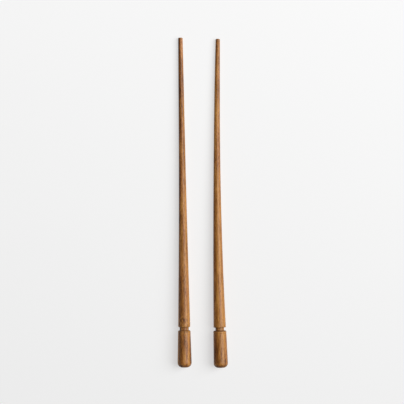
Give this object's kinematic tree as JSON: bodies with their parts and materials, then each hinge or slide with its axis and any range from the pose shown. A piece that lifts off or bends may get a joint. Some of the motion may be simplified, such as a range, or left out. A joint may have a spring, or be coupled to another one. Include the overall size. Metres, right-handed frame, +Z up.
{
  "type": "pair of chopsticks",
  "caption": "Slender turned wooden chopsticks with blunt tips, a slow taper and a groove that sets off a plain round-ended knob, lying side by side, for picking up food.",
  "frame": {"origin": "bottom centre of the pair's box, on the table that the sticks lie on", "axes": "+X to the right across the pair, +Y along the sticks from the butts to the tips, +Z up"},
  "size_m": [0.0366, 0.2406, 0.0104],
  "materials": {
    "left_wood": "satin oil",
    "right_wood": "satin oil"
  },
  "bodies": {
    "root": {"left_chopstick": "left_wood", "right_chopstick": "right_wood"}
  },
  "joints": []
}
